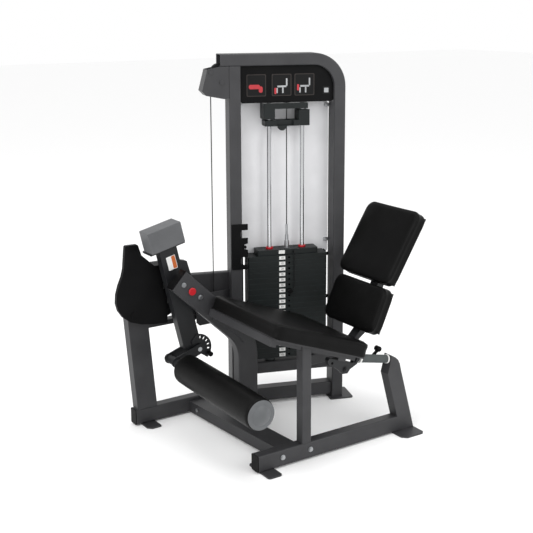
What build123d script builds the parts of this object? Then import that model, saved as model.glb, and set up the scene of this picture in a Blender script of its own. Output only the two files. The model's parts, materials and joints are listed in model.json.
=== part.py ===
from build123d import *
import math
import os

os.makedirs("parts", exist_ok=True)

# ---- driving dimensions, mm ----
ORIGIN_X = -328.0
ORIGIN_Y = 314.364
WALL = 3.0
CORNER = 6.0
TOWER_TURN = 18.5
TOWER_X = -636.0
TOWER_Y = 261.0
TOWER_WIDE = 544.0
TOWER_DEEP = 90.0
TOWER_TOP = 1650.0
UPRIGHT = 54.0
BEND_OUTER = 153.0
FLOOR_PLATE = 6.0
ROD_U = (193.0, 350.0)
MID_U = 272.0
MID_V = 45.0
ROD_R = 10.0
PLATE_PITCH = 26.1
PLATE_DEEP = 84.0
SELECT_U = 276.0
REAR_WHEEL_U = 276.0 - 35.4
PLATE_THICK = 25.6
PLATE_U0 = 82.0
PLATE_U1 = 459.0
STACK_TOP = 726.0
PLATES = 19
LIFTED = 7
HINGE_Y = -19.0
HINGE_Z = 649.0
SHAFT_R = 15.0
RUN_FIT = 0.06
BEAM_TILT = 43.3
ARM_TILT = 13.7
ARM_X0 = -634.0
ARM_X1 = -590.0
SEAT_TILT = 20.4
CABLE_R = 2.4
CAM_R = 95.0
LOW_WHEEL_R = 45.0
TOP_WHEEL_R = 33.0
FRONT_WHEEL_U = -39.0
TOP_WHEEL_Z = 1572.0
FORK_P = (55.0, 352.0)
ROLLER = (-62.0, 311.0)
ROLLER_R = 66.0
AXLE_R = 19.0
LINK_V0 = 56.0
LINK_V1 = 90.0
RAIL_X = -222.0
RAIL_Z = 345.0
CORE_R = 24.0

SIN_T = math.sin(math.radians(TOWER_TURN))
COS_T = math.cos(math.radians(TOWER_TURN))
D = (SIN_T, COS_T, 0)
N = (-COS_T, SIN_T, 0)

# the vertical run of the cable stands where the front rope wheel lets go of it
DROP_U = FRONT_WHEEL_U - TOP_WHEEL_R - CABLE_R
CABLE_X = TOWER_X + DROP_U * D[0] + MID_V * N[0]
CABLE_Y = TOWER_Y + DROP_U * D[1] + MID_V * N[1]
LOW_WHEEL = (CABLE_Y - LOW_WHEEL_R - CABLE_R, 500.0)


def at(x, y, z):
    return (x - ORIGIN_X, y - ORIGIN_Y, z)


def tower_at(u, v, z):
    return at(TOWER_X + u * D[0] + v * N[0], TOWER_Y + u * D[1] + v * N[1], z)


def side(x):
    return Plane(origin=at(x, 0, 0), x_dir=(0, 1, 0), z_dir=(1, 0, 0))


def top(z):
    return Plane(origin=at(0, 0, z), x_dir=(1, 0, 0), z_dir=(0, 0, 1))


def facing(y):
    return Plane(origin=at(0, y, 0), x_dir=(1, 0, 0), z_dir=(0, -1, 0))


def front(v):
    return Plane(origin=tower_at(0, v, 0), x_dir=D, z_dir=(COS_T, -SIN_T, 0))


def flat(z):
    return Plane(origin=tower_at(0, 0, z), x_dir=D, z_dir=(0, 0, 1))


def across(u):
    return Plane(origin=tower_at(u, 0, 0), x_dir=N, z_dir=D)


def tilted(x, y, z, degrees):
    """side plane with its local x turned up from +Y by the angle"""
    a = math.radians(degrees)
    return Plane(origin=at(x, y, z), x_dir=(0, math.cos(a), math.sin(a)), z_dir=(1, 0, 0))


def arm_side(x):
    return tilted(x, HINGE_Y, HINGE_Z, ARM_TILT)


def beam_side(x):
    return tilted(x, HINGE_Y, HINGE_Z, -BEAM_TILT)


def slab(plane, points, depth, mode=Mode.ADD, radius=0.0):
    with BuildSketch(plane) as outline:
        with BuildLine():
            Polyline(*points, close=True)
        make_face()
        if radius:
            fillet(outline.vertices(), radius)
    extrude(outline.sketch, amount=depth, mode=mode)


def block(plane, a0, b0, a1, b1, depth, mode=Mode.ADD, radius=0.0):
    slab(plane, [(a0, b0), (a1, b0), (a1, b1), (a0, b1)], depth, mode, radius)


def box_tube(plane, a0, b0, a1, b1, length, wall=WALL):
    with BuildSketch(plane) as section:
        with Locations(((a0 + a1) / 2, (b0 + b1) / 2)):
            RectangleRounded(abs(a1 - a0), abs(b1 - b0), CORNER)
            RectangleRounded(abs(a1 - a0) - 2 * wall, abs(b1 - b0) - 2 * wall, CORNER - wall,
                             mode=Mode.SUBTRACT)
    extrude(section.sketch, amount=length)


def shell_slab(plane, inner_plane, points, depth, wall=WALL):
    slab(plane, points, depth)
    with BuildSketch(inner_plane) as core:
        with BuildLine():
            Polyline(*points, close=True)
        make_face()
        offset(amount=-wall, kind=Kind.INTERSECTION)
    extrude(core.sketch, amount=depth - 2 * wall, mode=Mode.SUBTRACT)


def disc(plane, a, b, radius, depth, mode=Mode.ADD, bore=0.0):
    with BuildSketch(plane) as section:
        with Locations((a, b)):
            Circle(radius)
            if bore:
                Circle(bore, mode=Mode.SUBTRACT)
    extrude(section.sketch, amount=depth, mode=mode)


def slot(plane, a0, b0, a1, b1, radius, depth, mode=Mode.ADD):
    with BuildSketch(plane) as section:
        SlotCenterToCenter_at(a0, b0, a1, b1, radius)
    extrude(section.sketch, amount=depth, mode=mode)


def SlotCenterToCenter_at(a0, b0, a1, b1, radius):
    length = math.hypot(a1 - a0, b1 - b0)
    turn = math.degrees(math.atan2(b1 - b0, a1 - a0))
    with Locations(Location(((a0 + a1) / 2, (b0 + b1) / 2, 0), (0, 0, turn))):
        SlotCenterToCenter(length, 2 * radius)


pieces = {}

# ================= tower =================
with BuildPart() as tower_left_upright:
    box_tube(flat(FLOOR_PLATE), 0, 0, UPRIGHT, TOWER_DEEP, 1596 - FLOOR_PLATE)
    block(flat(0), -14, -12, 68, 102, FLOOR_PLATE, radius=8)
pieces["tower_left_upright"] = tower_left_upright

with BuildPart() as tower_top_bend:
    mid = TOWER_TOP - UPRIGHT / 2
    centre_u = TOWER_WIDE - BEND_OUTER
    centre_z = TOWER_TOP - BEND_OUTER
    bend = BEND_OUTER - UPRIGHT / 2
    half = bend * math.sin(math.radians(45))
    with BuildLine(front(TOWER_DEEP / 2)) as path:
        Line((-38, mid), (centre_u, mid))
        ThreePointArc((centre_u, mid), (centre_u + half, centre_z + half), (centre_u + bend, centre_z))
    with BuildSketch(Plane(origin=tower_at(-38, TOWER_DEEP / 2, mid), x_dir=N, z_dir=D)) as section:
        RectangleRounded(TOWER_DEEP, UPRIGHT, CORNER)
        RectangleRounded(TOWER_DEEP - 2 * WALL, UPRIGHT - 2 * WALL, CORNER - WALL, mode=Mode.SUBTRACT)
    sweep(sections=section.sketch, path=path.wire())
    block(flat(1590), -60, 28, -1, 62, 14, Mode.SUBTRACT)
    block(flat(1590), 203.6, 28, 284, 62, 14, Mode.SUBTRACT)
    for v in (31, 64):
        slab(front(v), [(206, 1596), (218, 1548), (262, 1548), (276, 1596)], 4)
    disc(front(61), REAR_WHEEL_U, TOP_WHEEL_Z, 6, 32)
pieces["tower_top_bend"] = tower_top_bend

with BuildPart() as tower_right_upright:
    box_tube(flat(FLOOR_PLATE), TOWER_WIDE - UPRIGHT, 0, TOWER_WIDE, TOWER_DEEP,
             TOWER_TOP - BEND_OUTER - FLOOR_PLATE)
    block(flat(0), 476, -24, 590, 108, FLOOR_PLATE, radius=10)
pieces["tower_right_upright"] = tower_right_upright

with BuildPart() as tower_cross_beams:
    box_tube(across(UPRIGHT), 15, 14, 75, 77, TOWER_WIDE - 2 * UPRIGHT)
    box_tube(across(UPRIGHT), 3, 157, 87, 212, TOWER_WIDE - 2 * UPRIGHT)
pieces["tower_cross_beams"] = tower_cross_beams

with BuildPart() as rear_shroud:
    block(front(86), 56, 706, 488, 1425, -4, radius=14)
pieces["rear_shroud"] = rear_shroud

with BuildPart() as shroud_clips:
    for edge, u, z in ((UPRIGHT, 68, 1411), (490, 475, 1408), (490, 475, 770), (UPRIGHT, 68, 765)):
        block(front(86), min(edge, u - 7), z - 8, max(edge, u + 7), z + 8, 4)
        disc(front(82), u, z, 8, 12)
        disc(front(70), u, z, 5, 5)
pieces["shroud_clips"] = shroud_clips

with BuildPart() as placard:
    inner = BEND_OUTER - UPRIGHT
    half = inner * math.sin(math.radians(45))
    with BuildSketch(front(24)):
        with BuildLine():
            Polyline((391, 1596), (UPRIGHT, 1596), (UPRIGHT, 1438), (62, 1430), (482, 1430), (490, 1438), (490, 1497))
            ThreePointArc((490, 1497), (391 + half, 1497 + half), (391, 1596))
        make_face()
    extrude(amount=5)
pieces["placard"] = placard

with BuildPart() as top_pulley_housing:
    outline = [(-12, 1596), (-38, 1596), (-97, 1583), (-121, 1489), (-102, 1469), (-22, 1453), (0, 1456), (0, 1596)]
    slab(front(6), outline, 5)
    slab(front(89), outline, 5)
    slab(front(84), [(-97, 1583), (-121, 1489), (-102, 1469), (-98, 1472), (-115, 1490), (-93, 1580)], 78)
    for u, z in ((-81, 1571), (-32, 1526)):
        disc(front(1), u, z, 9, 5)
    disc(front(84), FRONT_WHEEL_U, TOP_WHEEL_Z, 6, 78)
pieces["top_pulley_housing"] = top_pulley_housing

def wheel(plane, a, b, groove_r, rim_r, bore, width):
    """a grooved rope wheel of the given width, from the plane forward"""
    disc(plane, a, b, rim_r, width, bore=bore)
    disc(plane.offset(width / 2 - 4), a, b, rim_r + 3, 8, Mode.SUBTRACT, bore=groove_r)


with BuildPart() as top_pulley_front:
    wheel(front(MID_V + 10), FRONT_WHEEL_U, TOP_WHEEL_Z, TOP_WHEEL_R - 0.5, TOP_WHEEL_R + 3, 6 + RUN_FIT, 20)
pieces["top_pulley_front"] = top_pulley_front

with BuildPart() as top_pulley_rear:
    wheel(front(MID_V + 10), REAR_WHEEL_U, TOP_WHEEL_Z, TOP_WHEEL_R - 0.5, TOP_WHEEL_R + 3, 6 + RUN_FIT, 20)
pieces["top_pulley_rear"] = top_pulley_rear

with BuildPart() as side_guards:
    block(front(86), 60, 220, 76, 738, 3.5)
    slab(front(86), [(467, 220), (484, 220), (484, 700), (478, 716), (467, 724)], 3.5)
    for z in (260, 480, 690):
        block(front(86), UPRIGHT, z, 64, z + 16, 3.5)
        block(front(86), 480, z, 490, z + 16, 3.5)
pieces["side_guards"] = side_guards

with BuildPart() as accessory_bracket:
    notched = [(2, 672), (79, 672), (79, 693), (52, 693), (44, 704), (44, 720), (52, 731), (79, 731),
               (79, 762), (62, 768), (62, 788), (79, 794), (79, 819), (52, 819), (44, 829), (44, 846),
               (52, 856), (79, 856), (79, 884), (2, 884)]
    slab(front(0), notched, 5)
    disc(front(-5), 64, 778, 7, 7)
pieces["accessory_bracket"] = accessory_bracket

# ================= weight stack =================
with BuildPart() as guide_rods:
    for u in ROD_U:
        disc(flat(212), u, MID_V, ROD_R, 1596 - 212)
pieces["guide_rods"] = guide_rods

with BuildPart() as stack_bumpers:
    for u in ROD_U:
        disc(flat(212), u, MID_V, 24, 17.5, bore=ROD_R + 0.5)
pieces["stack_bumpers"] = stack_bumpers


def stack_plate(z0):
    block(flat(z0), PLATE_U0, 0, PLATE_U1, PLATE_DEEP, PLATE_THICK, radius=6)


def rod_holes(z0, height):
    for u in ROD_U:
        disc(flat(z0), u, MID_V, ROD_R + 0.5, height, Mode.SUBTRACT)


def pin_hole(z):
    disc(front(0), 276, z, 5.2, -75, Mode.SUBTRACT)


def plate_bottom(k):
    return STACK_TOP - PLATE_PITCH * k


with BuildPart() as stack_plates_lifted:
    for k in range(1, LIFTED + 1):
        stack_plate(plate_bottom(k))
    rod_holes(plate_bottom(LIFTED), PLATE_PITCH * LIFTED)
    disc(flat(plate_bottom(LIFTED)), 276, MID_V, 13.05, PLATE_PITCH * LIFTED, Mode.SUBTRACT)
    for k in range(1, LIFTED + 1):
        pin_hole(plate_bottom(k) + PLATE_THICK / 2)
pieces["stack_plates_lifted"] = stack_plates_lifted

with BuildPart() as stack_plates_resting:
    for k in range(LIFTED + 1, PLATES + 1):
        stack_plate(plate_bottom(k))
    rod_holes(plate_bottom(PLATES), PLATE_PITCH * (PLATES - LIFTED))
    disc(flat(plate_bottom(PLATES)), 276, MID_V, 13.05, PLATE_PITCH * (PLATES - LIFTED), Mode.SUBTRACT)
    for k in range(LIFTED + 1, PLATES + 1):
        pin_hole(plate_bottom(k) + PLATE_THICK / 2)
pieces["stack_plates_resting"] = stack_plates_resting


def labels(first, last):
    for k in range(first, last + 1):
        z = plate_bottom(k) + PLATE_THICK / 2
        block(front(0), 228, z - 8, 257, z + 8, 0.6)


with BuildPart() as weight_labels_lifted:
    labels(1, LIFTED)
    block(front(8), 228, 731, 257, 747, 0.6)
pieces["weight_labels_lifted"] = weight_labels_lifted

with BuildPart() as weight_labels_resting:
    labels(LIFTED + 1, PLATES)
pieces["weight_labels_resting"] = weight_labels_resting

with BuildPart() as head_plate:
    block(flat(STACK_TOP + 0.4), 127, 8, 417, 82, 24.6, radius=6)
    rod_holes(STACK_TOP, 30)
    disc(flat(STACK_TOP), 276, MID_V, 13, 30, Mode.SUBTRACT)
pieces["head_plate"] = head_plate

with BuildPart() as head_bushings:
    for u in ROD_U:
        disc(flat(STACK_TOP + 25), u, MID_V, 17, 8, bore=ROD_R + 0.08)
pieces["head_bushings"] = head_bushings

with BuildPart() as selector_rod:
    disc(flat(plate_bottom(PLATES) + 1), 276, MID_V, 12.5, STACK_TOP + 25 - plate_bottom(PLATES) - 1)
    disc(flat(STACK_TOP + 0.4), 276, MID_V, 13, 24.6)
    for k in range(1, PLATES + 1):
        disc(front(20), 276, plate_bottom(k) + PLATE_THICK / 2, 5.2, -50, Mode.SUBTRACT)
    disc(flat(STACK_TOP + 25), 276, MID_V, 11, 34)
    disc(flat(STACK_TOP + 59), 276, MID_V, 8, 26)
    disc(flat(STACK_TOP + 85), 276, MID_V, 5, 51)
    disc(flat(STACK_TOP - 70), 276, MID_V, CABLE_R + 0.1, 230, Mode.SUBTRACT)
pieces["selector_rod"] = selector_rod

PIN_Z = plate_bottom(LIFTED) + PLATE_THICK / 2
with BuildPart() as selector_pin:
    disc(front(65), 276, PIN_Z, 5.1, 66)
    disc(front(-0.1), 276, PIN_Z, 9, 8)
    disc(front(-8), 276, PIN_Z, 12, 16)
    fillet(selector_pin.edges().filter_by(GeomType.CIRCLE).sort_by(Axis((0, 0, 0), (COS_T, -SIN_T, 0)))[-1], 4)
pieces["selector_pin"] = selector_pin


def addon_holes(z0, height):
    for u in ROD_U:
        disc(flat(z0), u, MID_V, ROD_R + 0.5, height, Mode.SUBTRACT)
    disc(flat(z0), 276, MID_V, 16, height, Mode.SUBTRACT)


with BuildPart() as addon_weight_upper:
    block(flat(1402), 160, 8, 368, 82, 25, radius=5)
    block(flat(1356), 160, 8, 213, 82, 46, radius=5)
    addon_holes(1350, 80)
pieces["addon_weight_upper"] = addon_weight_upper

with BuildPart() as addon_weight_lower:
    block(flat(1324), 168, 8, 376, 82, 25, radius=5)
    block(flat(1349), 323, 8, 376, 82, 46, radius=5)
    disc(front(22), 246, 1324, 20, 14)
    block(front(22), 220, 1325, 300, 1350, 14, Mode.SUBTRACT)
    addon_holes(1300, 100)
pieces["addon_weight_lower"] = addon_weight_lower

# ================= floor frame =================
LEG_POINTS = [(820.6, 6), (741, 290), (733, 322), (722, 341), (706, 355), (687.3, 366), (678.5, 325),
              (667, 284), (743.8, 6)]
with BuildPart() as near_side_frame:
    with BuildSketch(facing(0)) as section:
        with Locations((-25, 41)):
            RectangleRounded(50, 70, CORNER)
            RectangleRounded(44, 64, CORNER - WALL, mode=Mode.SUBTRACT)
    extrude(section.sketch, amount=-760)
    slab(side(-60), [(743.8, 0), (743.8, 6), (724.8, 77), (724.8, 100), (900, 100), (900, 0)], 70, Mode.SUBTRACT)
    shell_slab(side(-50), side(-50 + WALL), LEG_POINTS, 50)
pieces["near_side_frame"] = near_side_frame

with BuildPart() as floor_plates:
    slab(top(0), [(-95, 9), (62, 9), (62, 75), (-95, 75)], FLOOR_PLATE, radius=12)
    slab(top(0), [(-95, 705), (50, 705), (72, 727), (72, 812), (60, 824), (-95, 824)], FLOOR_PLATE, radius=6)
    slab(top(0), [(-790, -178), (-652, -178), (-634, -160), (-634, -112), (-790, -112)], FLOOR_PLATE, radius=8)
    slab(top(0), [(-565, 205), (-485, 205), (-485, 325), (-565, 325)], FLOOR_PLATE, radius=8)
pieces["floor_plates"] = floor_plates

with BuildPart() as far_side_frame:
    with BuildSketch(facing(-205)) as section:
        with Locations((-725, 41)):
            RectangleRounded(50, 70, CORNER)
            RectangleRounded(44, 64, CORNER - WALL, mode=Mode.SUBTRACT)
    extrude(section.sketch, amount=-375)
    shell_slab(side(-750), side(-747), [(-197.3, 76), (-100.8, 76), (-134.6, 478), (-232.6, 502)], 50)
    slab(side(-750), [(-132.8, 447), (118, 447), (118, 470), (-134.6, 470)], 43)
    block(side(-747), -128, 450, 118, 467, 37, Mode.SUBTRACT)
    block(flat(430), -182, LINK_V0, 0, LINK_V1, 220, Mode.SUBTRACT)
pieces["far_side_frame"] = far_side_frame

with BuildPart() as tube_end_caps:
    for x, y in ((-25, 0), (-725, -205)):
        with BuildSketch(facing(y)) as section:
            with Locations((x, 41)):
                RectangleRounded(50, 70, CORNER)
        extrude(section.sketch, amount=4)
        with BuildSketch(facing(y)) as section:
            with Locations((x, 41)):
                RectangleRounded(43.4, 63.4, 2.5)
        extrude(section.sketch, amount=-14)
    with BuildSketch(facing(174)) as section:
        with Locations((-725, 41)):
            RectangleRounded(50, 70, CORNER)
    extrude(section.sketch, amount=4)
    with BuildSketch(facing(694)) as section:
        with Locations((RAIL_X, RAIL_Z)):
            RectangleRounded(50, 50, CORNER)
    extrude(section.sketch, amount=4)
    end = -math.hypot(-78 - HINGE_Y, 704.5 - HINGE_Z)
    block(beam_side(-550), end - 4, -50, end, 50, 50)
    block(beam_side(-546), end, -46, end + 12, 46, 42)
pieces["tube_end_caps"] = tube_end_caps

SKEW = math.tan(math.radians(5.1))
CROSS_DEEP = 100.4
with BuildPart() as cross_beam:
    y0 = 68.0
    y1 = 68.0 + 650 * SKEW
    slab(top(6), [(-700, y0), (-50, y1), (-50, y1 + CROSS_DEEP), (-700, y0 + CROSS_DEEP)], 51.5)
    slab(top(6 + WALL), [(-700, y0 + WALL), (-50, y1 + WALL), (-50, y1 + CROSS_DEEP - WALL),
                         (-700, y0 + CROSS_DEEP - WALL)], 51.5 - 2 * WALL, Mode.SUBTRACT)
    y0 = 68.0 + 150 * SKEW + CROSS_DEEP
    y1 = 68.0 + 200 * SKEW + CROSS_DEEP
    slab(top(6), [(-550, y0 - 1), (-500, y1 - 1), (-500, 330), (-550, 330)], 70)
    slab(top(6 + WALL), [(-547, y0 + WALL), (-503, y1 + WALL), (-503, 327), (-547, 327)], 64, Mode.SUBTRACT)
    block(top(6), -632, 262, -549, 312, 70)
    block(top(9), -632, 265, -553, 309, 64, Mode.SUBTRACT)
    block(flat(0), 0, -40, UPRIGHT, TOWER_DEEP, 100, Mode.SUBTRACT)
pieces["cross_beam"] = cross_beam

# ================= posts =================
with BuildPart() as near_post:
    box_tube(top(76), -45, 213, 0, 260, 440)
    slab(side(-60), [(180, 514.3), (213, 502), (260, 484.5), (300, 469.6), (300, 700), (180, 700)], 80, Mode.SUBTRACT)
pieces["near_post"] = near_post

with BuildPart() as link_beam:
    box_tube(across(-182), LINK_V0, 430, LINK_V1, 650, 182)
    slab(side(-684), [(300, 421), (116, 421), (101, 436), (101, 555), (115, 569), (300, 569)], 5)
    block(side(-745), 132, 474, 182, 526, 30)
    block(flat(400), 0, -40, 90, 160, 300, Mode.SUBTRACT)
    disc(side(-740), LOW_WHEEL[0], LOW_WHEEL[1], 8, 61)
    disc(side(-679), LOW_WHEEL[0], LOW_WHEEL[1], 12, 6)
pieces["link_beam"] = link_beam

with BuildPart() as lower_pulley:
    wheel(side(CABLE_X - 10), LOW_WHEEL[0], LOW_WHEEL[1], LOW_WHEEL_R - 0.4, LOW_WHEEL_R + 4, 8 + RUN_FIT, 20)
pieces["lower_pulley"] = lower_pulley

# ================= main bent tube =================
TURN = 90 - BEAM_TILT
BEND_R = 200.0
CORNER_YZ = (266.0, 380.0)
TANGENT = BEND_R * math.tan(math.radians(TURN / 2))
CB = math.cos(math.radians(BEAM_TILT))
SB = math.sin(math.radians(BEAM_TILT))
with BuildPart() as main_bent_tube:
    low = (CORNER_YZ[0], CORNER_YZ[1] - TANGENT)
    high = (CORNER_YZ[0] - TANGENT * CB, CORNER_YZ[1] + TANGENT * SB)
    arc_mid = (CORNER_YZ[0] - BEND_R + BEND_R * math.cos(math.radians(TURN / 2)),
               low[1] + BEND_R * math.sin(math.radians(TURN / 2)))
    with BuildLine(side(-525)) as path:
        Line((266, 76), low)
        ThreePointArc(low, arc_mid, high)
        Line(high, (-78, 704.5))
    with BuildSketch(Plane(origin=at(-525, 266, 76), x_dir=(1, 0, 0), z_dir=(0, 0, 1))) as section:
        RectangleRounded(50, 100, CORNER)
        RectangleRounded(44, 94, CORNER - WALL, mode=Mode.SUBTRACT)
    sweep(sections=section.sketch, path=path.wire())
    disc(side(-552), HINGE_Y, HINGE_Z, 26, 52)
    disc(side(-560), HINGE_Y, HINGE_Z, SHAFT_R + RUN_FIT, 70, Mode.SUBTRACT)
pieces["main_bent_tube"] = main_bent_tube

with BuildPart() as frame_bolts:
    for x, y, z in ((0, 129 * 0.9016, 44), (0, 283 * 0.9016, 44), (-500, -57, 683), (-500, 23, 616)):
        disc(side(x), y, z, 11, 2)
        disc(side(x + 2), y, z, 8, 5)
    disc(facing(67.1 + 60 * SKEW), -640, 34, 9, 4)
pieces["frame_bolts"] = frame_bolts

# ================= arm =================
BLOCK_TURN = ARM_TILT
CA = math.cos(math.radians(ARM_TILT))
SA = math.sin(math.radians(ARM_TILT))
FORK_DY = FORK_P[0] - HINGE_Y
FORK_DZ = FORK_P[1] - HINGE_Z
FORK_PQ = (CA * FORK_DY + SA * FORK_DZ, CA * FORK_DZ - SA * FORK_DY)
with BuildPart() as arm:
    ARM_BASE_Q = 202.0
    with BuildSketch(arm_side(ARM_X0)) as outline:
        with BuildLine():
            Polyline((-63, ARM_BASE_Q), (-63, -283), (-18, -324))
            ThreePointArc((-18, -324), (3, -330), (25, -306))
            Polyline((25, -306), (22, -280), (22, ARM_BASE_Q), (-63, ARM_BASE_Q))
        make_face()
    extrude(outline.sketch, amount=ARM_X1 - ARM_X0)
    block(arm_side(ARM_X0 + WALL), -60, -262, 19, ARM_BASE_Q - 30, ARM_X1 - ARM_X0 - 2 * WALL, Mode.SUBTRACT)
    disc(arm_side(-651), 0, 0, 26, 98.5)
    disc(arm_side(-660), 0, 0, SHAFT_R, 110, Mode.SUBTRACT)
    disc(arm_side(-634), FORK_PQ[0], FORK_PQ[1], 16, 44)
    disc(side(-640), FORK_P[0], FORK_P[1], 10, 60, Mode.SUBTRACT)
    block(tilted(-630, -114.75, 888.25, BLOCK_TURN), -84, -54, 84, -46, 80)
    slab(side(-622), [(-26, 770), (9, 761), (29, 694), (-6, 690), (-9, 702)], 30, radius=3)
pieces["arm"] = arm

with BuildPart() as counterweight:
    plane = tilted(-620, -114.75, 888.25, BLOCK_TURN)
    block(plane, -81, -46, 81, 49, 84)
    fillet(counterweight.edges(), 3)
pieces["counterweight"] = counterweight

with BuildPart() as arm_label:
    block(arm_side(ARM_X1), -44, 110, 8, 186, 0.6, radius=3)
pieces["arm_label"] = arm_label

with BuildPart() as hinge_shaft:
    disc(side(-740), HINGE_Y, HINGE_Z, SHAFT_R, 243)
    disc(side(-664), HINGE_Y, HINGE_Z, SHAFT_R + 7, 8)
pieces["hinge_shaft"] = hinge_shaft

with BuildPart() as hinge_cap:
    disc(side(-497), HINGE_Y, HINGE_Z, 17, 6)
    fillet(hinge_cap.edges().filter_by(GeomType.CIRCLE).sort_by(Axis.X)[-1], 3)
pieces["hinge_cap"] = hinge_cap

with BuildPart() as cam:
    disc(side(CABLE_X - 12), HINGE_Y, HINGE_Z, CAM_R + 4, 24)
    disc(side(CABLE_X - 4), HINGE_Y, HINGE_Z, CAM_R + 9, 8, Mode.SUBTRACT, bore=CAM_R)
    disc(side(-720), HINGE_Y, HINGE_Z, SHAFT_R, 60, Mode.SUBTRACT)
    for k in range(5):
        a = math.radians(72 * k + 20)
        disc(side(-720), HINGE_Y + 56 * math.cos(a), HINGE_Z + 56 * math.sin(a), 20, 60, Mode.SUBTRACT)
pieces["cam"] = cam

COVER = [(-255, 851), (-196, 850), (-180, 800), (-120, 745), (-20, 742), (40, 743), (60, 675), (80, 560),
         (60, 520), (-47, 474), (-126, 480), (-190, 490), (-240, 508), (-275, 534), (-296, 566), (-305, 600),
         (-302, 640), (-290, 680), (-274, 716), (-265, 750), (-262, 783)]
COVER_BACK = [(-225, 822), (-190, 822), (-170, 790), (-118, 744), (-20, 742), (40, 743), (60, 675), (80, 560),
              (60, 520), (-47, 474), (-126, 480), (-236, 528), (-262, 570), (-268, 611), (-236, 700), (-230, 760)]
with BuildPart() as cover_shell:
    with BuildSketch(side(-672)) as rim:
        with BuildLine():
            Polyline(*COVER, close=True)
        make_face()
        fillet(rim.vertices(), 8)
    extrude(rim.sketch, amount=20)
    with BuildSketch(side(-722)) as deep:
        with BuildLine():
            Polyline(*COVER_BACK, close=True)
        make_face()
        fillet(deep.vertices(), 8)
    extrude(deep.sketch, amount=53)
    with BuildSketch(side(-669)) as core:
        with BuildLine():
            Polyline(*COVER, close=True)
        make_face()
        offset(amount=-3, kind=Kind.INTERSECTION)
    extrude(core.sketch, amount=14, mode=Mode.SUBTRACT)
    with BuildSketch(side(-722)) as well:
        with BuildLine():
            Polyline(*COVER_BACK, close=True)
        make_face()
        offset(amount=-3, kind=Kind.INTERSECTION)
    extrude(well.sketch, amount=60, mode=Mode.SUBTRACT)
    block(side(-730), -62, 400, 160, 900, 90, Mode.SUBTRACT)
    disc(side(-660), HINGE_Y, HINGE_Z, 62, 20, Mode.SUBTRACT)
    disc(side(-652), -222, 539, 14, 3)
pieces["cover_shell"] = cover_shell

with BuildPart() as cover_outer_plate:
    slab(side(-732), COVER_BACK, 10, radius=8)
    disc(side(-740), HINGE_Y, HINGE_Z, SHAFT_R + RUN_FIT, 40, Mode.SUBTRACT)
    slab(side(-740), [(-197.3, 76), (-100.8, 76), (-134.6, 478), (-232.6, 502)], 40, Mode.SUBTRACT)
pieces["cover_outer_plate"] = cover_outer_plate

# ================= roller linkage =================
HOLE_FIRST = -44.0
HOLE_STEP = 22.0
with BuildPart() as position_disc:
    with BuildSketch(arm_side(ARM_X1)) as sector:
        with BuildLine():
            a0 = math.radians(-62)
            a1 = math.radians(84)
            a2 = math.radians(11)
            start = (FORK_PQ[0] + 66 * math.cos(a0), FORK_PQ[1] + 66 * math.sin(a0))
            middle = (FORK_PQ[0] + 66 * math.cos(a2), FORK_PQ[1] + 66 * math.sin(a2))
            finish = (FORK_PQ[0] + 66 * math.cos(a1), FORK_PQ[1] + 66 * math.sin(a1))
            ThreePointArc(start, middle, finish)
            Polyline(finish, (-22, -262), (-22, -322), (6, -334), start)
        make_face()
        with Locations(FORK_PQ):
            Circle(10, mode=Mode.SUBTRACT)
    extrude(sector.sketch, amount=6.5)
    for k in range(6):
        a = math.radians(HOLE_FIRST + HOLE_STEP * k)
        slot(arm_side(ARM_X1 - 1), FORK_PQ[0] + 48 * math.cos(a), FORK_PQ[1] + 48 * math.sin(a),
             FORK_PQ[0] + 54 * math.cos(a), FORK_PQ[1] + 54 * math.sin(a), 4.2, 10, Mode.SUBTRACT)
pieces["position_disc"] = position_disc

PIN_AT = (FORK_P[0] + 51 * math.cos(math.radians(HOLE_FIRST + ARM_TILT)),
          FORK_P[1] + 51 * math.sin(math.radians(HOLE_FIRST + ARM_TILT)))
with BuildPart() as pull_pin:
    disc(side(-582.3), PIN_AT[0], PIN_AT[1], 5, 24)
    disc(side(-566), PIN_AT[0], PIN_AT[1], 11, 20)
    fillet(pull_pin.edges().filter_by(GeomType.CIRCLE).sort_by(Axis.X)[-1], 4)
pieces["pull_pin"] = pull_pin

with BuildPart() as fork_pin:
    disc(side(-646), FORK_P[0], FORK_P[1], 10, 77)
pieces["fork_pin"] = fork_pin

FORK_ANGLE = math.degrees(math.atan2(ROLLER[1] - FORK_P[1], ROLLER[0] - FORK_P[0]))
with BuildPart() as roller_fork:
    for x in (-576.5, -645):
        slot(side(x), FORK_P[0], FORK_P[1], ROLLER[0], ROLLER[1], 23, 6)
    slot(side(-576.5), FORK_P[0], FORK_P[1], PIN_AT[0], PIN_AT[1], 14, 6)
    disc(side(-580), PIN_AT[0], PIN_AT[1], 5 + RUN_FIT, 20, Mode.SUBTRACT)
    disc(side(-655), FORK_P[0], FORK_P[1], 10 + RUN_FIT, 100, Mode.SUBTRACT)
    disc(side(-655), ROLLER[0], ROLLER[1], AXLE_R, 763)
    disc(side(-655), ROLLER[0], ROLLER[1], AXLE_R - WALL, 763, Mode.SUBTRACT)
pieces["roller_fork"] = roller_fork

with BuildPart() as roller_core:
    with BuildSketch(top(ROLLER[1])) as profile:
        y = ROLLER[0]
        with BuildLine():
            Polyline((114, y + AXLE_R + RUN_FIT), (-487, y + AXLE_R + RUN_FIT), (-487, y + CORE_R),
                     (115, y + CORE_R), (115, y + 60), (118, y + 60))
            ThreePointArc((118, y + 60), (119.5, y + 59), (120, y + 57))
            Line((120, y + 57), (120, y + 42))
            ThreePointArc((120, y + 42), (130.5, y + 22), (134, y + 0.5))
            Polyline((134, y + 0.5), (114, y + 0.5), (114, y + AXLE_R + RUN_FIT))
        make_face()
    revolve(axis=Axis(at(0, ROLLER[0], ROLLER[1]), (1, 0, 0)))
    disc(side(114), ROLLER[0], ROLLER[1], 1, 20)
pieces["roller_core"] = roller_core

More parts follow.
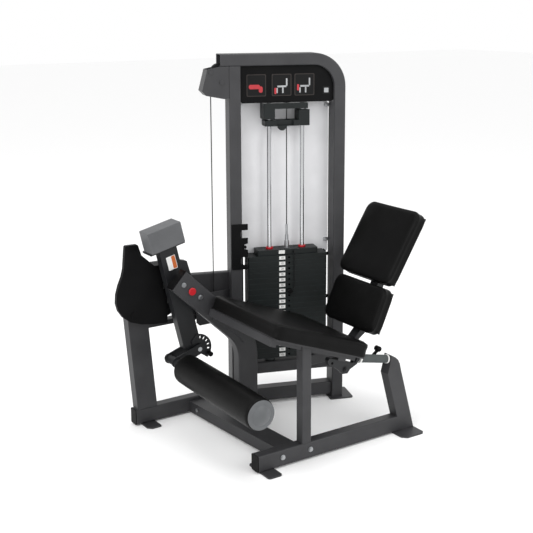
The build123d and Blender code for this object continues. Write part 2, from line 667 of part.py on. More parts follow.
with BuildPart() as roller_pad:
    disc(side(-485), ROLLER[0], ROLLER[1], ROLLER_R, 600, bore=CORE_R)
    fillet(roller_pad.edges().filter_by(GeomType.CIRCLE).group_by(SortBy.RADIUS)[-1], 10)
pieces["roller_pad"] = roller_pad

# ================= seat =================
TS = math.tan(math.radians(SEAT_TILT))


def seat_top(y):
    return 626 - TS * (y - 77)


SEAT = tilted(0, 77, 626, -SEAT_TILT)


def seat_plane(x):
    return tilted(x, 77, 626, -SEAT_TILT)


with BuildPart() as seat_pad:
    with BuildSketch(seat_plane(-490)) as outline:
        with BuildLine():
            Polyline((0, -30), (4, -55), (10, -60), (492, -60), (500, -52), (500, -10), (492, -2))
            ThreePointArc((492, -2), (250, -5), (40, 0))
            ThreePointArc((40, 0), (12, -9), (0, -30))
        make_face()
    extrude(outline.sketch, amount=530)
pieces["seat_pad"] = seat_pad

with BuildPart() as seat_frame:
    block(seat_plane(-478), 20, -66.3, 490, -60.3, 506)
    block(seat_plane(-500), 18, -98, 46, -66.3, 494)
    block(seat_plane(-36), 46, -86, 470, -66.3, 30)
    block(seat_plane(-496), 46, -86, 470, -66.3, 30)
    block(seat_plane(-496), 380, -98, 420, -66.3, 490)
    block(seat_plane(-250), 376, -122, 424, -90, 56)
    slab(side(-500), [(84, 526), (120, 513), (190, 487), (262, 460), (262, 380), (238, 368), (214, 404),
                      (180, 434), (84, 500)], 6)
    with BuildSketch(facing(400)) as section:
        with Locations((RAIL_X, RAIL_Z)):
            RectangleRounded(50, 50, CORNER)
    extrude(section.sketch, amount=-290)
    with BuildSketch(facing(420)) as section:
        with Locations((RAIL_X, RAIL_Z)):
            RectangleRounded(44, 44, CORNER - WALL)
    extrude(section.sketch, amount=-270, mode=Mode.SUBTRACT)
    for k in range(6):
        disc(side(RAIL_X - 40), 540 + 22 * k, RAIL_Z, 5, 80, Mode.SUBTRACT)
    block(top(76), -45, 213, 0, 260, 500, Mode.SUBTRACT)
pieces["seat_frame"] = seat_frame

# ================= hand grip =================
GRIP_A = (683.0, 345.0)
GRIP_B = (505.0, 384.0)
GRIP_TILT = math.degrees(math.atan2(GRIP_B[1] - GRIP_A[1], GRIP_B[0] - GRIP_A[0]))
GRIP_LONG = math.hypot(GRIP_B[0] - GRIP_A[0], GRIP_B[1] - GRIP_A[1])
GRIP_AXIS = (0, math.cos(math.radians(GRIP_TILT)), math.sin(math.radians(GRIP_TILT)))


def along_grip(distance):
    y = GRIP_A[0] + distance * GRIP_AXIS[1]
    z = GRIP_A[1] + distance * GRIP_AXIS[2]
    return Plane(origin=at(-25, y, z), x_dir=(1, 0, 0), z_dir=GRIP_AXIS)


with BuildPart() as grip_tube:
    disc(along_grip(-1), 0, 0, 13.5, GRIP_LONG + 1, bore=11)
    slab(side(-60), LEG_POINTS, 70, Mode.SUBTRACT)
    block(seat_plane(-60), 40, -98, 500, 0, 80, Mode.SUBTRACT)
pieces["grip_tube"] = grip_tube

with BuildPart() as hand_grip:
    disc(along_grip(10), 0, 0, 18, 147, bore=13.5)
pieces["hand_grip"] = hand_grip

with BuildPart() as grip_rings:
    disc(along_grip(3), 0, 0, 20, 7, bore=13.5)
    disc(along_grip(157), 0, 0, 20, 7, bore=13.5)
pieces["grip_rings"] = grip_rings

with BuildPart() as cast_bracket:
    outline = [(508, 362), (512, 402), (480, 404), (440, 412), (400, 420), (368, 424), (352, 404), (360, 380),
               (386, 370), (412, 352), (430, 332), (456, 330), (470, 346)]
    slab(side(-36), outline, 22, radius=4)
    disc(along_grip(GRIP_LONG - 4), 0, 0, 21, 12)
    disc(side(-14), 445, 349, 12, 6)
    disc(side(-8), 445, 349, 7, 4)
    disc(side(-50), 375, 391, 6, 60, Mode.SUBTRACT)
    disc(along_grip(0), 0, 0, 13.5, GRIP_LONG, Mode.SUBTRACT)
    block(seat_plane(-60), 40, -98, 472, 0, 80, Mode.SUBTRACT)
    block(seat_plane(-60), 40, -68, 520, 0, 80, Mode.SUBTRACT)
pieces["cast_bracket"] = cast_bracket

# ================= back rest =================
LEVER_AT = (620.0, 350.0)
LEVER_KNOB = (664.0, 383.0)
LOWER_LEAN = 90 - 24.5
UPPER_LEAN = 90 - 32.0
LOWER_FOOT = (609.0, 459.0)
UPPER_FOOT = (692.8, 673.2)


def lower_back(x):
    """local x up the pad, local y toward its front face, from the pad's front lower edge"""
    return tilted(x, LOWER_FOOT[0], LOWER_FOOT[1], LOWER_LEAN)


def upper_back(x):
    return tilted(x, UPPER_FOOT[0], UPPER_FOOT[1], UPPER_LEAN)


PAD_X0 = -422.0
PAD_X1 = -62.0
with BuildPart() as back_carriage:
    with BuildSketch(facing(560)) as section:
        with Locations((RAIL_X, RAIL_Z)):
            RectangleRounded(62, 62, 7)
            RectangleRounded(50.2, 50.2, CORNER, mode=Mode.SUBTRACT)
    extrude(section.sketch, amount=-80)
    disc(side(RAIL_X), LEVER_AT[0], LEVER_AT[1], 6 + RUN_FIT, 60, Mode.SUBTRACT)
    slab(side(-247), [(596, 376), (640, 376), (711, 426), (838, 705), (920.5, 837), (890, 856),
                      (806, 721.6), (678, 441), (640, 402)], 50)
    slab(side(-244), [(602, 379), (639, 379), (708, 428), (835, 706), (916, 837), (892, 851),
                      (809, 720), (681, 440), (643, 399)], 44, Mode.SUBTRACT)
    block(lower_back(PAD_X0 + 14), 12, -70.3, 200, -64.3, PAD_X1 - PAD_X0 - 28)
    block(upper_back(PAD_X0 + 14), 12, -70.3, 342, -64.3, PAD_X1 - PAD_X0 - 28)
    block(upper_back(-247), 90, -74, 240, -70.3, 50)
pieces["back_carriage"] = back_carriage

with BuildPart() as back_pad_lower:
    block(lower_back(PAD_X0), 0, -64, 212, 0, PAD_X1 - PAD_X0, radius=10)
pieces["back_pad_lower"] = back_pad_lower

with BuildPart() as back_pad_upper:
    block(upper_back(PAD_X0), 0, -64, 354, 0, PAD_X1 - PAD_X0, radius=10)
pieces["back_pad_upper"] = back_pad_upper

with BuildPart() as back_lever:
    disc(side(-196.5), LEVER_AT[0], LEVER_AT[1], 6, 136.5)
    slot(side(-66), LEVER_AT[0], LEVER_AT[1], LEVER_KNOB[0], LEVER_KNOB[1], 7, 6)
    disc(side(-80), LEVER_KNOB[0], LEVER_KNOB[1], 12, 26)
    fillet(back_lever.edges().filter_by(GeomType.CIRCLE).sort_by(Axis.X)[-1], 4)
pieces["back_lever"] = back_lever

# ================= cable and cord =================


CAM_PATH = CAM_R + CABLE_R
LOW_PATH = LOW_WHEEL_R + CABLE_R
TOP_PATH = TOP_WHEEL_R + CABLE_R
SPAN = math.hypot(LOW_WHEEL[0] - HINGE_Y, LOW_WHEEL[1] - HINGE_Z)
HEADING = math.atan2(LOW_WHEEL[1] - HINGE_Z, LOW_WHEEL[0] - HINGE_Y)
TANGENT_AT = HEADING - math.acos((CAM_PATH - LOW_PATH) / SPAN)
TA = math.cos(TANGENT_AT)
TB = math.sin(TANGENT_AT)
with BuildLine(side(CABLE_X)) as low_path:
    cam_arc = CenterArc((HINGE_Y, HINGE_Z), CAM_PATH, 170, math.degrees(TANGENT_AT) + 190)
    Line((HINGE_Y + CAM_PATH * TA, HINGE_Z + CAM_PATH * TB),
         (LOW_WHEEL[0] + LOW_PATH * TA, LOW_WHEEL[1] + LOW_PATH * TB))
    CenterArc(LOW_WHEEL, LOW_PATH, math.degrees(TANGENT_AT), -math.degrees(TANGENT_AT))
    Line((CABLE_Y, LOW_WHEEL[1]), (CABLE_Y, TOP_WHEEL_Z))
with BuildLine(front(MID_V)) as high_path:
    CenterArc((FRONT_WHEEL_U, TOP_WHEEL_Z), TOP_PATH, 180, -90)
    Line((FRONT_WHEEL_U, TOP_WHEEL_Z + TOP_PATH), (REAR_WHEEL_U, TOP_WHEEL_Z + TOP_PATH))
    CenterArc((REAR_WHEEL_U, TOP_WHEEL_Z), TOP_PATH, 90, -90)
    Line((SELECT_U, TOP_WHEEL_Z), (SELECT_U, STACK_TOP + 95))
cable_wire = Wire([edge for edge in low_path.edges()] + [edge for edge in high_path.edges()])
cable_start = cable_wire @ 0
cable_way = cable_wire % 0
with BuildPart() as lift_cable:
    with BuildSketch(Plane(origin=cable_start, z_dir=cable_way)) as section:
        Circle(CABLE_R)
    sweep(sections=section.sketch, path=cable_wire)
pieces["lift_cable"] = lift_cable

with BuildPart() as pin_lanyard:
    with BuildLine(front(-9)) as path:
        Line((300, 736), (300, PIN_Z + 15))
        CenterArc((292, PIN_Z + 15), 8, 0, -70)
    with BuildSketch(Plane(origin=tower_at(300, -9, 736), z_dir=(0, 0, -1))) as section:
        Circle(1.8)
    sweep(sections=section.sketch, path=path.line)
    disc(front(8), 300, 739, 3.4, 20)
pieces["pin_lanyard"] = pin_lanyard

for label, piece in pieces.items():
    piece.part.label = label
    export_step(piece.part, f"parts/{label}.step")
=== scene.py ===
import bpy
import json
import math
from mathutils import Matrix, Vector, noise


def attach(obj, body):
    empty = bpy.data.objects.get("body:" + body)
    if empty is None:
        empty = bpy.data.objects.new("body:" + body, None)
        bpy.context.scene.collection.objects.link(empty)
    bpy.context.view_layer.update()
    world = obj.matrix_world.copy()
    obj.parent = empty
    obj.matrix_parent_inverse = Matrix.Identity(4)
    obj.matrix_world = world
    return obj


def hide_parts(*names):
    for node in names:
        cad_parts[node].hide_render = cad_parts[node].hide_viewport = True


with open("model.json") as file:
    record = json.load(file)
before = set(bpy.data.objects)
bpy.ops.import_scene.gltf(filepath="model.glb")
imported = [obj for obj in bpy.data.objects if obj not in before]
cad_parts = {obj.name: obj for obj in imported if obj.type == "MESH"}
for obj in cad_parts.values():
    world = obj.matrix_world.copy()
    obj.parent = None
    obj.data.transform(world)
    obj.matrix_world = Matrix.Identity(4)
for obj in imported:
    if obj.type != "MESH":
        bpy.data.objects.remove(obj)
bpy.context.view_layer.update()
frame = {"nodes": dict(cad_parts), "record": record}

NODES = frame["nodes"]

# ---------------------------------------------------------------- coordinates
# rows are in millimetres from the design origin; at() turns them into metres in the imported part's frame
OX, OY = -328.0, 314.364
TOWER_FOOT = Vector((-636.0, 261.0, 0))
TURN = math.radians(18.5)
D = Vector((math.sin(TURN), math.cos(TURN), 0))
N = Vector((-math.cos(TURN), math.sin(TURN), 0))


def at(x, y, z):
    return Vector(((x - OX) / 1000, (y - OY) / 1000, z / 1000))


def tower_at(u, v, z):
    """u across the tower's front, v back from its front plane, z up"""
    p = TOWER_FOOT + D * u + N * v
    return at(p.x, p.y, z)


def lin(code):
    """a #rrggbb colour as linear RGBA"""
    out = []
    for k in (1, 3, 5):
        c = int(code[k:k + 2], 16) / 255
        out.append(c / 12.92 if c <= 0.04045 else ((c + 0.055) / 1.055) ** 2.4)
    return (*out, 1.0)


# ---------------------------------------------------------------- materials
def finish_of(name, dark, light, rough, metallic=0.0, grain=400.0, bump=0.06, kind="peel", wear=None,
              coat=0.0, stretch=(1, 1, 1), cloud=9.0, edge=0.0012, specular=0.5):
    m = bpy.data.materials.new(name)
    m.use_nodes = True
    t = m.node_tree
    t.nodes.clear()
    out = t.nodes.new("ShaderNodeOutputMaterial")
    b = t.nodes.new("ShaderNodeBsdfPrincipled")
    t.links.new(b.outputs[0], out.inputs[0])
    b.inputs["Metallic"].default_value = metallic
    b.inputs["Specular IOR Level"].default_value = specular
    b.inputs["Coat Weight"].default_value = coat
    b.inputs["Coat Roughness"].default_value = 0.2
    tc = t.nodes.new("ShaderNodeTexCoord")
    mp = t.nodes.new("ShaderNodeMapping")
    mp.inputs["Scale"].default_value = stretch
    t.links.new(tc.outputs["Object"], mp.inputs["Vector"])
    big = t.nodes.new("ShaderNodeTexNoise")
    big.inputs["Scale"].default_value = cloud
    big.inputs["Detail"].default_value = 5
    t.links.new(mp.outputs[0], big.inputs["Vector"])
    ramp = t.nodes.new("ShaderNodeValToRGB")
    ramp.color_ramp.elements[0].position = 0.3
    ramp.color_ramp.elements[1].position = 0.7
    ramp.color_ramp.elements[0].color = lin(dark)
    ramp.color_ramp.elements[1].color = lin(light)
    t.links.new(big.outputs[0], ramp.inputs[0])
    colour = ramp.outputs[0]
    bev = None
    if edge:
        bev = t.nodes.new("ShaderNodeBevel")
        bev.samples = 4
        bev.inputs["Radius"].default_value = edge
    if wear and edge:
        geo = t.nodes.new("ShaderNodeNewGeometry")
        dot = t.nodes.new("ShaderNodeVectorMath")
        dot.operation = "DOT_PRODUCT"
        t.links.new(bev.outputs[0], dot.inputs[0])
        t.links.new(geo.outputs["Normal"], dot.inputs[1])
        rng = t.nodes.new("ShaderNodeMapRange")
        rng.inputs["From Min"].default_value = 0.995
        rng.inputs["From Max"].default_value = 0.85
        rng.inputs["To Min"].default_value = 0.0
        rng.inputs["To Max"].default_value = 0.7
        t.links.new(dot.outputs["Value"], rng.inputs["Value"])
        mix = t.nodes.new("ShaderNodeMix")
        mix.data_type = "RGBA"
        t.links.new(rng.outputs[0], mix.inputs[0])
        t.links.new(colour, mix.inputs[6])
        mix.inputs[7].default_value = lin(wear)
        colour = mix.outputs[2]
    t.links.new(colour, b.inputs["Base Color"])
    rr = t.nodes.new("ShaderNodeMapRange")
    rr.inputs["To Min"].default_value = max(0.02, rough - 0.07)
    rr.inputs["To Max"].default_value = min(1.0, rough + 0.07)
    fine = t.nodes.new("ShaderNodeTexNoise")
    fine.inputs["Scale"].default_value = grain
    fine.inputs["Detail"].default_value = 3
    t.links.new(mp.outputs[0], fine.inputs["Vector"])
    t.links.new(fine.outputs[0], rr.inputs["Value"])
    t.links.new(rr.outputs[0], b.inputs["Roughness"])
    bp = t.nodes.new("ShaderNodeBump")
    bp.inputs["Strength"].default_value = bump
    bp.inputs["Distance"].default_value = 0.0006
    height = fine.outputs[0]
    if kind == "leather":
        cell = t.nodes.new("ShaderNodeTexVoronoi")
        cell.feature = "DISTANCE_TO_EDGE"
        cell.inputs["Scale"].default_value = grain
        t.links.new(mp.outputs[0], cell.inputs["Vector"])
        cl = t.nodes.new("ShaderNodeMath")
        cl.operation = "MINIMUM"
        t.links.new(cell.outputs["Distance"], cl.inputs[0])
        cl.inputs[1].default_value = 0.16
        add = t.nodes.new("ShaderNodeMath")
        add.operation = "ADD"
        t.links.new(cl.outputs[0], add.inputs[0])
        t.links.new(big.outputs[0], add.inputs[1])
        height = add.outputs[0]
    t.links.new(height, bp.inputs["Height"])
    if bev:
        t.links.new(bev.outputs[0], bp.inputs["Normal"])
    t.links.new(bp.outputs[0], b.inputs["Normal"])
    return m


MATS = {
    "frame_paint": finish_of("frame_paint", "#2b2b2d", "#343436", 0.5, grain=900, bump=0.12, wear="#555557",
                             specular=0.4),
    "dark_steel": finish_of("dark_steel", "#17181a", "#1f2022", 0.45, grain=900, bump=0.12, wear="#38383a",
                            specular=0.3),
    "black_steel": finish_of("black_steel", "#0d0e10", "#141516", 0.45, grain=700, bump=0.1, wear="#28282a",
                             specular=0.2),
    "shroud_panel": finish_of("shroud_panel", "#dcdcde", "#e4e4e6", 0.4, grain=500, bump=0.05, edge=0.0008,
                              specular=0.3),
    "black_plastic": finish_of("black_plastic", "#050506", "#0b0b0c", 0.5, grain=1100, bump=0.18, edge=0.0008,
                               specular=0.1),
    "chrome_rod": finish_of("chrome_rod", "#b4b5b7", "#c8c9cb", 0.16, metallic=1.0, grain=300, bump=0.03,
                            stretch=(6, 6, 0.4), edge=0.0004),
    "weight_steel": finish_of("weight_steel", "#101414", "#181d1d", 0.48, grain=600, bump=0.2, wear="#465050",
                              edge=0.001, specular=0.25),
    "label_white": finish_of("label_white", "#d4d4d2", "#ececea", 0.45, grain=800, bump=0.04, edge=0),
    "rubber_black": finish_of("rubber_black", "#444848", "#505454", 0.75, grain=1400, bump=0.4, edge=0.0008,
                              specular=0.2),
    "bright_steel": finish_of("bright_steel", "#a4a6a8", "#bcbec0", 0.32, metallic=1.0, grain=900, bump=0.08,
                              stretch=(1, 1, 5), edge=0.0005),
    "red_plastic": finish_of("red_plastic", "#a30d19", "#b81622", 0.32, grain=500, bump=0.04, edge=0.0008),
    "counterweight_iron": finish_of("counterweight_iron", "#505153", "#5c5d5f", 0.5, grain=500, bump=0.2,
                                    wear="#77787a", edge=0.002, specular=0.3),
    "cam_aluminium": finish_of("cam_aluminium", "#77797b", "#8b8d8f", 0.36, metallic=0.9, grain=700, bump=0.08),
    "wheel_plastic": finish_of("wheel_plastic", "#151617", "#1e1f20", 0.45, grain=900, bump=0.1, edge=0.0008,
                               specular=0.3),
    "pad_leather": finish_of("pad_leather", "#050505", "#090909", 0.44, grain=620, bump=0.35, kind="leather",
                             cloud=14, edge=0, specular=0.1),
    "cap_plastic": finish_of("cap_plastic", "#515355", "#5e6062", 0.4, grain=900, bump=0.1, edge=0.0008,
                             specular=0.35),
    "cord_black": finish_of("cord_black", "#0d0d0e", "#181819", 0.45, grain=1500, bump=0.3, edge=0,
                            stretch=(1, 1, 4), specular=0.3),
}
ORANGE = finish_of("label_orange", "#b5561a", "#c4631f", 0.5, grain=800, bump=0.04, edge=0)
TILE = finish_of("tile_dark", "#050506", "#0a0a0b", 0.35, grain=700, bump=0.03, edge=0, specular=0.2)
TILE_EDGE = finish_of("tile_edge", "#2a2625", "#332e2c", 0.4, grain=700, bump=0.03, edge=0, specular=0.2)
TILE_LIGHT = finish_of("tile_light", "#8d8f91", "#a3a5a7", 0.4, grain=700, bump=0.03, edge=0)
TILE_RED = finish_of("tile_red", "#9c1d26", "#b32833", 0.4, grain=700, bump=0.03, edge=0)
INK = finish_of("label_ink", "#151515", "#1c1c1c", 0.6, grain=1500, bump=0.02, edge=0)

slots = {}
for part in frame["record"]["subparts"]:
    slots[part["node"]] = part["material_slot"]
for name, obj in NODES.items():
    m = MATS[slots.get(name, "frame_paint")]
    obj.data.materials.clear()
    obj.data.materials.append(m)


# ---------------------------------------------------------------- pieces
def mesh_object(name, points, faces, material, smooth=True, levels=0):
    data = bpy.data.meshes.new(name)
    data.from_pydata([tuple(p) for p in points], [], faces)
    data.validate()
    data.update()
    obj = bpy.data.objects.new(name, data)
    bpy.context.scene.collection.objects.link(obj)
    data.materials.append(material)
    if smooth:
        data.polygons.foreach_set("use_smooth", [True] * len(data.polygons))
    if levels:
        s = obj.modifiers.new("smooth", "SUBSURF")
        s.levels = levels
        s.render_levels = levels
    return obj


def rounded(w, h, r, per_corner=10, per_side=14):
    """points round a rounded rectangle centred at the origin, w by h"""
    r = max(0.0005, min(r, w / 2 - 0.0004, h / 2 - 0.0004))
    cx, cy = w / 2 - r, h / 2 - r
    pts = []
    corners = [(cx, cy, 0), (-cx, cy, 90), (-cx, -cy, 180), (cx, -cy, 270)]
    for k, (x, y, a0) in enumerate(corners):
        for j in range(per_corner + 1):
            a = math.radians(a0 + 90 * j / per_corner)
            pts.append((x + r * math.cos(a), y + r * math.sin(a)))
        nx, ny, na = corners[(k + 1) % 4]
        a = math.radians(a0 + 90)
        start = (x + r * math.cos(a), y + r * math.sin(a))
        end = (nx + r * math.cos(a), ny + r * math.sin(a))
        for j in range(1, per_side):
            f = j / per_side
            pts.append((start[0] + (end[0] - start[0]) * f, start[1] + (end[1] - start[1]) * f))
    return pts


def cushion(name, place, wide, long, thick, corner, crown, node, body, roll=None, seed=0.0):
    """an upholstered pad: board-flat underside, boxed sides, a sewn edge seam and a crowned top.
    place(x, a, b) gives the row point; x is centred, a runs along the pad from 0, b up from the underside."""
    t = thick - crown
    e = min(0.013, t * 0.3)
    rings = [(0.030, 0.0), (0.012, 0.0), (0.004, 0.0006), (0.0012, 0.004), (0.0008, 0.009), (0.0022, t * 0.34),
             (0.0026, t * 0.5), (0.0016, t - e - 0.010), (0.0006, t - e - 0.004), (0.0005, t - e - 0.001),
             (0.0028, t - e + 0.0005), (0.0010, t - e + 0.0022), (0.0030, t - e + 0.0065), (0.0070, t - 0.0055),
             (0.0120, t - 0.0032), (0.0200, t - 0.0018)]
    n = len(rounded(wide, long, corner))
    pts = []
    faces = []

    def lift(x, a, b):
        high = max(0.0, min(1.0, b / t))
        b += noise.noise(Vector((x * 14 + seed, a * 14, b * 20))) * 0.0009 * high
        y = a - long / 2
        x *= 1 - 0.010 * (1 - (2 * y / long) ** 2) * high
        a = long / 2 + y * (1 - 0.010 * (1 - (2 * x / wide) ** 2) * high)
        if roll and a < roll[1]:
            f = 1 - a / roll[1]
            b -= roll[0] * (1 - math.sqrt(max(0.0, 1 - f * f))) * high
        return place(x, a, b)

    for inset, b in rings:
        for x, y in rounded(wide - 2 * inset, long - 2 * inset, corner - inset):
            pts.append(lift(x, y + long / 2, b))
    steps = 12
    for k in range(1, steps):
        s = 1 - k / steps
        for x, y in rounded(wide - 0.040, long - 0.040, corner - 0.02):
            pts.append(lift(x * s, y * s + long / 2, t - 0.0018 + crown * (1 - s * s)))
    total = len(pts) // n
    for k in range(total - 1):
        for j in range(n):
            faces.append((k * n + j, k * n + (j + 1) % n, (k + 1) * n + (j + 1) % n, (k + 1) * n + j))
    pts.append(lift(0, long / 2, thick - 0.0018))
    for j in range(n):
        faces.append(((total - 1) * n + j, (total - 1) * n + (j + 1) % n, len(pts) - 1))
    pts.append(lift(0, long / 2, 0))
    for j in range(n):
        faces.append(((j + 1) % n, j, len(pts) - 1))
    obj = mesh_object(name, pts, faces, MATS["pad_leather"], levels=1)
    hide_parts(node)
    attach(obj, body)


def frame_of(origin, along, up):
    """a cushion's place(): x across, p along, b up"""
    a = Vector(along).normalized()
    u = Vector(up).normalized()

    def place(x, p, b):
        return origin + Vector((x, 0, 0)) + a * p + u * b
    return place


TILT = math.radians(-20.4)
SEAT_DEPTH = 0.060
seat_along = Vector((0, math.cos(TILT), math.sin(TILT)))
seat_up = Vector((0, -math.sin(TILT), math.cos(TILT)))
cushion("seat_cushion", frame_of(at(-225, 77, 626) + seat_up * -SEAT_DEPTH, seat_along, seat_up),
        0.530, 0.500, 0.066, 0.040, 0.003, "seat_pad", "frame", roll=(0.006, 0.030), seed=1.0)
BACK_DEPTH = 0.064
for title, foot, lean, long, seed in (("back_cushion_lower", (609.0, 459.0), 65.5, 0.212, 4.0),
                                      ("back_cushion_upper", (692.8, 673.2), 58.0, 0.354, 8.0)):
    lean = math.radians(lean)
    along = Vector((0, math.cos(lean), math.sin(lean)))
    up = Vector((0, -math.sin(lean), math.cos(lean)))
    cushion(title, frame_of(at(-242, *foot) + up * -BACK_DEPTH, along, up), 0.360, long, BACK_DEPTH,
            0.046, 0.006, title.replace("cushion", "pad"), "back_rest", seed=seed)


# the foam roller's cover: a closed sleeve with sewn ends and one seam along its back
def sleeve():
    y0, z0 = -62.0, 311.0
    skin, seam_at, seam_width, seam_deep = 60, math.radians(215), 0.03, 1.3
    profile = [(-485.0, 24.3), (-485.0, 40.0), (-485.0, 52.0), (-484.4, 57.5), (-482.6, 61.0), (-479.6, 63.6),
               (-477.5, 64.4), (-476.4, 63.6), (-475.2, 64.6), (-471.0, 65.2), (-455.0, 65.5), (-400.0, 65.9),
               (-185.0, 65.9), (30.0, 65.9), (85.0, 65.5), (101.0, 65.2), (105.2, 64.6), (106.4, 63.6),
               (107.5, 64.4), (109.6, 63.6), (112.6, 61.0), (114.2, 58.5), (114.6, 57.0), (114.6, 40.0),
               (114.6, 24.3)]
    n = 128
    pts = []
    for x, r in profile:
        for j in range(n):
            a = 2 * math.pi * j / n
            rr = r
            if r > skin:
                away = abs(((a - seam_at + math.pi) % (2 * math.pi)) - math.pi)
                rr -= seam_deep * math.exp(-(away / seam_width) ** 2)
                rr -= 0.5 * (0.5 + 0.5 * noise.noise(Vector((x / 90, math.cos(a) * 2.2, math.sin(a) * 2.2))))
            pts.append(at(x, y0 + rr * math.cos(a), z0 + rr * math.sin(a)))
    faces = []
    m = len(profile)
    for k in range(m):
        for j in range(n):
            faces.append((k * n + j, ((k + 1) % m) * n + j, ((k + 1) % m) * n + (j + 1) % n, k * n + (j + 1) % n))
    obj = mesh_object("roller_cover", pts, faces, MATS["pad_leather"])
    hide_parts("roller_pad")
    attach(obj, "roller")


sleeve()


# ---------------------------------------------------------------- placard tiles
EDGE_V, TILE_V, MARK_V, PLACARD_V = 18.6, 18.2, 17.7, 19.0
SOFT = (0.4, 0.5)


def plate_on(name, outline, v0, v1, material, body="frame"):
    """a thin plate in the tower's front plane: outline in (u, z), from v0 back to v1, with softened front edges"""
    n = len(outline)
    cu = sum(p[0] for p in outline) / n
    cz = sum(p[1] for p in outline) / n
    pts = []
    for v, k in ((v1, 0.0), (v0 + SOFT[0], 0.0), (v0, SOFT[1])):
        for u, z in outline:
            du, dz = cu - u, cz - z
            far = math.hypot(du, dz) or 1
            pts.append(tower_at(u + du / far * k, v, z + dz / far * k))
    faces = [tuple(range(n)), tuple(range(3 * n - 1, 2 * n - 1, -1))]
    for s in (0, 1):
        for j in range(n):
            faces.append((s * n + (j + 1) % n, s * n + j, (s + 1) * n + j, (s + 1) * n + (j + 1) % n))
    obj = mesh_object(name, pts, faces, material, smooth=False)
    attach(obj, body)


def box_outline(u0, z0, u1, z1, r=4.0):
    pts = rounded((u1 - u0) / 1000, (z1 - z0) / 1000, r / 1000, per_corner=5, per_side=2)
    return [(x * 1000 + (u0 + u1) / 2, y * 1000 + (z0 + z1) / 2) for x, y in pts]


def seated(u, z):
    """a generic bench, back rest and lever as simple shapes"""
    return [box_outline(u - 26, z - 14, u + 16, z - 6, 2), box_outline(u + 14, z - 8, u + 21, z + 26, 2),
            box_outline(u - 4, z - 40, u + 3, z - 14, 2), box_outline(u - 30, z - 40, u - 24, z - 16, 2)]


for k, (u0, u1) in enumerate(((84, 174), (200, 292), (306, 400))):
    plate_on(f"placard_tile_edge_{k + 1}", box_outline(u0, 1459, u1, 1558, 6), EDGE_V, PLACARD_V,
             TILE_EDGE)
    plate_on(f"placard_tile_{k + 1}", box_outline(u0 + 4, 1463, u1 - 4, 1554, 4), TILE_V, EDGE_V, TILE)
    if k:
        for j, shape in enumerate(seated((u0 + u1) / 2 + 6, 1512)):
            plate_on(f"placard_mark_{k + 1}_{j + 1}", shape, MARK_V, TILE_V, TILE_LIGHT)
        rise = 14 * (k - 1)
        plate_on(f"placard_lever_{k + 1}", box_outline(u0 + 12, 1468 + rise, u0 + 22, 1496 + rise, 4),
                 MARK_V, TILE_V, TILE_RED)
    else:
        plate_on("placard_leg_mark_1", box_outline(u0 + 10, 1492, u0 + 62, 1512, 9), MARK_V, TILE_V,
                 TILE_RED)
        plate_on("placard_leg_mark_2", box_outline(u0 + 56, 1476, u0 + 74, 1504, 8), 17.4, TILE_V,
                 TILE_RED)
plate_on("placard_small_square", box_outline(440, 1462, 473, 1499, 3), TILE_V, PLACARD_V, TILE)
plate_on("placard_small_mark", box_outline(446, 1470, 467, 1491, 2), MARK_V, TILE_V, TILE_LIGHT)


STACK_TOP_Z, PLATE_PITCH, PLATE_THICK = 726.0, 26.1, 25.6
FIGURE_U, FIGURE_V = 242.5, -0.75


def plate_numbers(name, first, last, body):
    """a plain weight figure on each plate's label, as flat raised ink"""
    pts = []
    faces = []
    for k in range(first, last + 1):
        z = STACK_TOP_Z - PLATE_PITCH * k + 0.5 * PLATE_THICK
        curve = bpy.data.curves.new("figure", "FONT")
        curve.body = str(5 + 5 * k)
        curve.size = 0.0125
        curve.align_x = "CENTER"
        curve.align_y = "CENTER"
        curve.extrude = 0.0001
        curve.resolution_u = 3
        temp = bpy.data.objects.new("figure", curve)
        data = bpy.data.meshes.new_from_object(temp)
        start = len(pts)
        origin = tower_at(FIGURE_U, FIGURE_V, z)
        for v in data.vertices:
            pts.append(origin + D * v.co.x + Vector((0, 0, 1)) * v.co.y - N * v.co.z)
        for p in data.polygons:
            faces.append(tuple(start + i for i in p.vertices))
        bpy.data.meshes.remove(data)
        bpy.data.objects.remove(temp)
        bpy.data.curves.remove(curve)
    obj = mesh_object(name, pts, faces, INK, smooth=False)
    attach(obj, body)


plate_numbers("plate_numbers_lifted", 1, 7, "stack")
plate_numbers("plate_numbers_resting", 8, 19, "frame")


ARM_TILT = math.radians(13.7)
ARM_FACE_X, HINGE_Y, HINGE_Z = -590.0, -19, 649


def arm_plate(name, a0, b0, a1, b1, material, deep=0.6):
    """a thin sticker on the arm's outer face, in the arm's own directions"""
    c, s = math.cos(ARM_TILT), math.sin(ARM_TILT)
    pts = []
    outline = box_outline(a0, b0, a1, b1, 3)
    n = len(outline)
    for x in (ARM_FACE_X, ARM_FACE_X + deep):
        for a, b in outline:
            pts.append(at(x, HINGE_Y + a * c - b * s, HINGE_Z + a * s + b * c))
    faces = [tuple(range(n - 1, -1, -1)), tuple(range(n, 2 * n))]
    for j in range(n):
        faces.append((j, (j + 1) % n, n + (j + 1) % n, n + j))
    obj = mesh_object(name, pts, faces, material, smooth=False)
    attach(obj, "swing_arm")
    return obj


sticker = arm_plate("arm_sticker", -40, 92, 4, 154, MATS["label_white"], 0.4)
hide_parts("arm_label")
arm_plate("arm_sticker_band", -16, 94, 2, 152, ORANGE)

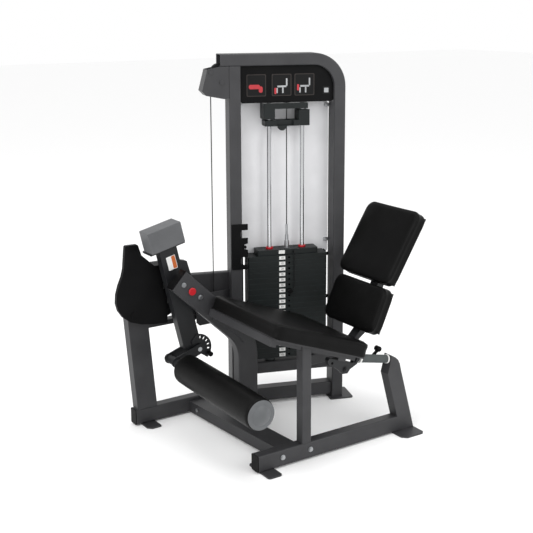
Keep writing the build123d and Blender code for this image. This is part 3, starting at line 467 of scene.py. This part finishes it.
# ---------------------------------------------------------------- floor, light, camera
def plane(name, size, z, colour):
    """a matt square backdrop"""
    s = size / 2
    data = bpy.data.meshes.new(name)
    data.from_pydata([(-s, -s, z), (s, -s, z), (s, s, z), (-s, s, z)], [], [(0, 1, 2, 3)])
    obj = bpy.data.objects.new(name, data)
    bpy.context.scene.collection.objects.link(obj)
    m = bpy.data.materials.new(name)
    m.use_nodes = True
    bsdf = m.node_tree.nodes["Principled BSDF"]
    bsdf.inputs["Base Color"].default_value = (*colour, 1)
    bsdf.inputs["Roughness"].default_value = 0.95
    bsdf.inputs["Specular IOR Level"].default_value = 0.05
    data.materials.append(m)


plane("floor_stage", 60, 0.0, (0.965, 0.965, 0.965))


def lamp(name, spot, aim, size, power):
    data = bpy.data.lights.new(name, "AREA")
    data.shape = "SQUARE"
    data.size = size
    data.energy = power
    obj = bpy.data.objects.new(name, data)
    bpy.context.scene.collection.objects.link(obj)
    obj.location = spot
    obj.rotation_euler = (Vector(aim) - Vector(spot)).to_track_quat("-Z", "Y").to_euler()


lamp("key_light", (1.2, -4.2, 4.2), (0, 0, 0.7), 2.6, 110)
lamp("side_light", (4.6, 1.6, 3.0), (0, 0, 0.6), 2.6, 60)
lamp("top_light", (0.0, 0.3, 5.0), (0, 0, 0.4), 3.0, 60)
world = bpy.data.worlds.new("studio")
world.use_nodes = True
world.node_tree.nodes["Background"].inputs[0].default_value = (1, 1, 1, 1)
world.node_tree.nodes["Background"].inputs[1].default_value = 1.0
bpy.context.scene.world = world
bpy.context.scene.view_settings.view_transform = "Standard"

# the camera turned az about z, tilted el down and rolled rl
CAMERA_SPOT = (3.4386, -2.2920, 1.8417)
az = math.radians(57.0)
el = math.radians(11.1)
rl = math.radians(-0.27)
F = Vector((-math.sin(az) * math.cos(el), math.cos(az) * math.cos(el), -math.sin(el)))
right = Vector((math.cos(az), math.sin(az), 0))
up = right.cross(F)
R = right * math.cos(rl) + up * math.sin(rl)
U = up * math.cos(rl) - right * math.sin(rl)
cam = bpy.data.cameras.new("camera")
cam.lens = 66.5
cam.sensor_width = 36.0
cam.shift_y = -0.12
cam_obj = bpy.data.objects.new("camera", cam)
bpy.context.scene.collection.objects.link(cam_obj)
cam_obj.matrix_world = Matrix([(R[i], U[i], -F[i], CAMERA_SPOT[i]) for i in range(3)] + [(0, 0, 0, 1)])
bpy.context.scene.camera = cam_obj
